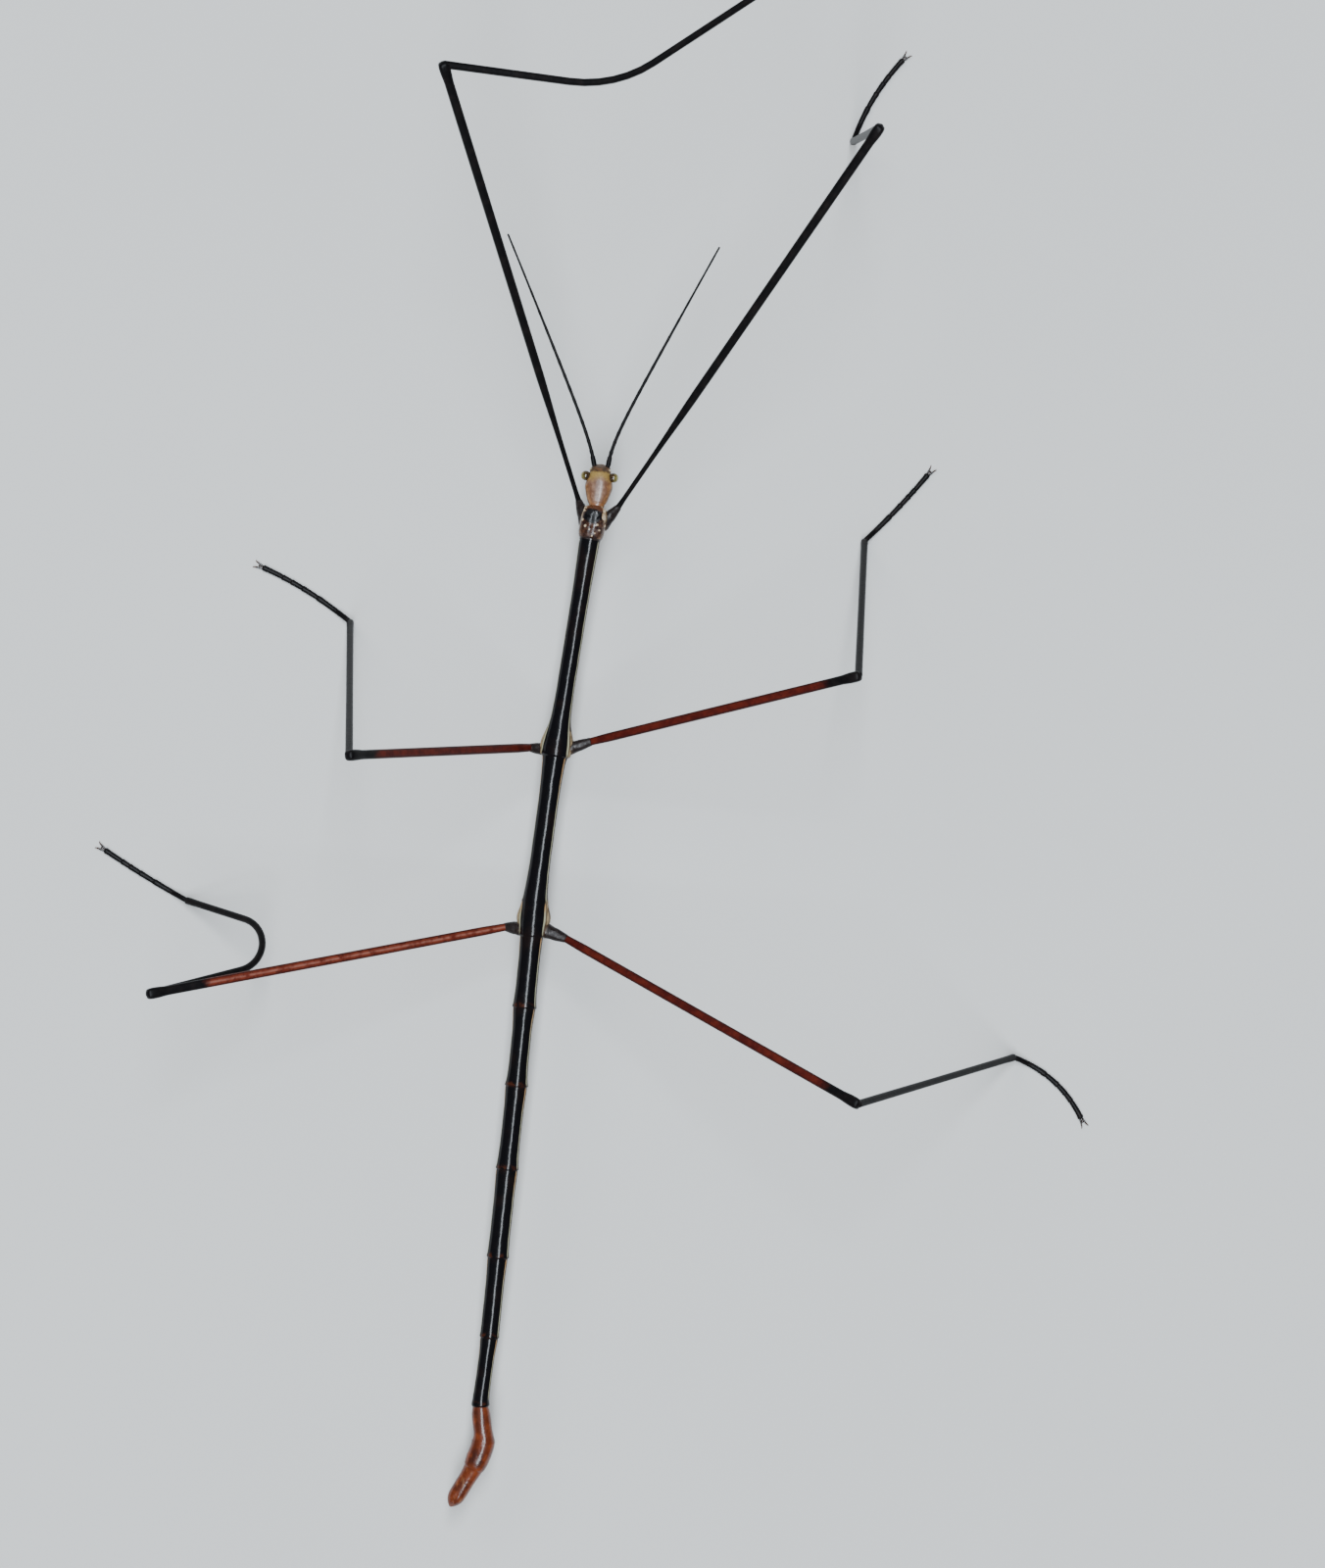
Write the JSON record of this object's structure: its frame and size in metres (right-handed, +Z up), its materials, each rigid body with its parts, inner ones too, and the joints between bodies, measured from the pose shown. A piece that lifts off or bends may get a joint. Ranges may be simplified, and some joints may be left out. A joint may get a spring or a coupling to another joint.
{
  "type": "giant stick insect model",
  "caption": "Still, life-size museum-style model of a slender wingless giant stick insect standing with its legs spread.",
  "frame": {"origin": "centre of the bounding box at floor level, under the middle of the animal", "axes": "+Y towards the head, +X towards the animal's right side, +Z up from the floor it stands on"},
  "size_m": [0.1064, 0.1632, 0.0374],
  "materials": {
    "black_cuticle": "glossy jet black body shell with a fine grain",
    "red_cuticle": "satin dark red leg shell that blackens towards the knee",
    "orange_cuticle": "glossy rust-orange shell with brown patches",
    "tan_cuticle": "fine-grained brown and tan shell with cream spots",
    "eye": "smooth shiny eye, pale greenish rim round a dark middle"
  },
  "bodies": {
    "root": {"abdomen_1": "black_cuticle", "abdomen_10": "orange_cuticle", "abdomen_2": "black_cuticle", "abdomen_3": "black_cuticle", "abdomen_4": "black_cuticle", "abdomen_5": "black_cuticle", "abdomen_6": "black_cuticle", "abdomen_7": "black_cuticle", "abdomen_8": "orange_cuticle", "abdomen_9": "orange_cuticle", "antenna_left": "black_cuticle", "antenna_right": "black_cuticle", "claws_fore_left": "black_cuticle", "claws_fore_right": "black_cuticle", "claws_hind_left": "black_cuticle", "claws_hind_right": "black_cuticle", "claws_mid_left": "black_cuticle", "claws_mid_right": "black_cuticle", "coxa_fore_left": "tan_cuticle", "coxa_fore_right": "tan_cuticle", "coxa_hind_left": "tan_cuticle", "coxa_hind_right": "tan_cuticle", "coxa_mid_left": "tan_cuticle", "coxa_mid_right": "tan_cuticle", "eye_left": "eye", "eye_right": "eye", "femur_fore_left": "black_cuticle", "femur_fore_right": "black_cuticle", "femur_hind_left": "red_cuticle", "femur_hind_right": "red_cuticle", "femur_mid_left": "red_cuticle", "femur_mid_right": "red_cuticle", "head": "tan_cuticle", "mesothorax": "black_cuticle", "metathorax": "black_cuticle", "mouthparts": "tan_cuticle", "prothorax": "tan_cuticle", "tarsus_fore_left": "black_cuticle", "tarsus_fore_right": "black_cuticle", "tarsus_hind_left": "black_cuticle", "tarsus_hind_right": "black_cuticle", "tarsus_mid_left": "black_cuticle", "tarsus_mid_right": "black_cuticle", "tibia_fore_left": "black_cuticle", "tibia_fore_right": "black_cuticle", "tibia_hind_left": "black_cuticle", "tibia_hind_right": "black_cuticle", "tibia_mid_left": "black_cuticle", "tibia_mid_right": "black_cuticle"}
  },
  "joints": []
}
